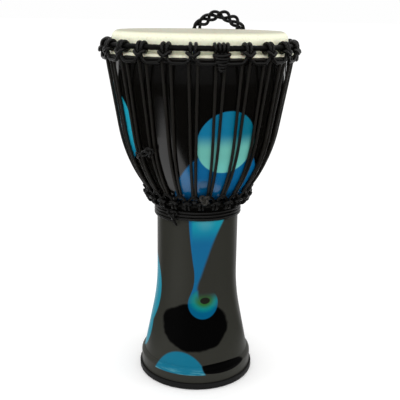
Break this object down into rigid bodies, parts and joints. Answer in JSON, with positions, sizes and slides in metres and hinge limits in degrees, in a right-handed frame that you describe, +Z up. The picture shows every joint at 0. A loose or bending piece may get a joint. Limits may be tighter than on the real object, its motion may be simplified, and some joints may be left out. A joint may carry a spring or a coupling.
{
  "type": "goblet drum",
  "caption": "Rope-tuned goblet hand drum: gloss moulded shell with blue printed shapes, a skin held by a crown ring, black rope cage, rubber foot and a braided rope handle.",
  "frame": {"origin": "centre of the foot's underside, on the floor", "axes": "+Z up along the drum's axis, -Y towards the front, the handle at the back near +Y"},
  "size_m": [0.3434, 0.3435, 0.668],
  "materials": {
    "shell": "polished black lacquer with printed blue and green shapes",
    "foot_rubber": "satin black",
    "skin": "cream, smooth, slightly satin",
    "ring_steel": "black paint",
    "hoop_steel": "bare steel inside the fold of the skin",
    "ring_cloth": "black cloth strip wound on the ring",
    "rope": "black braided low-stretch rope",
    "handle_rope": "black rope worked as a chain braid"
  },
  "bodies": {
    "root": {"drum_shell": "shell", "foot_ring": "foot_rubber", "drum_skin": "skin", "bottom_ring": "ring_steel", "bottom_ring_wrap": "ring_cloth", "bottom_hitches": "rope", "bottom_loops": "rope", "bottom_knot": "rope", "neck_coil_1": "rope", "neck_coil_2": "rope", "neck_coil_3": "rope", "neck_tie_knot": "rope", "woven_tail": "rope", "tuning_ropes_front": "rope", "tuning_ropes_right": "rope", "tuning_ropes_back": "rope", "tuning_ropes_left": "rope"},
    "head_rings": {"crown_ring": "ring_steel", "crown_ring_wrap": "ring_cloth", "flesh_hoop": "hoop_steel", "skin_fold": "skin", "top_hitches": "rope", "top_loops": "rope", "joining_knot": "rope", "handle_lashing_left": "rope", "handle_lashing_right": "rope"},
    "handle": {"handle_braid": "handle_rope"}
  },
  "joints": [
    {"name": "head_tuning", "type": "slide", "parent": "root", "child": "head_rings", "axis": [0, 0, 1], "range_m": [-0.008, 0], "deforming": ["tuning_ropes_front", "tuning_ropes_right", "tuning_ropes_back", "tuning_ropes_left"]},
    {"name": "handle_fold", "type": "hinge", "parent": "head_rings", "child": "handle", "pos_m": [0.03165, 0.15151, 0.612], "axis": [-0.9789, 0.2045, 0], "range_deg": [-5, 105]}
  ]
}
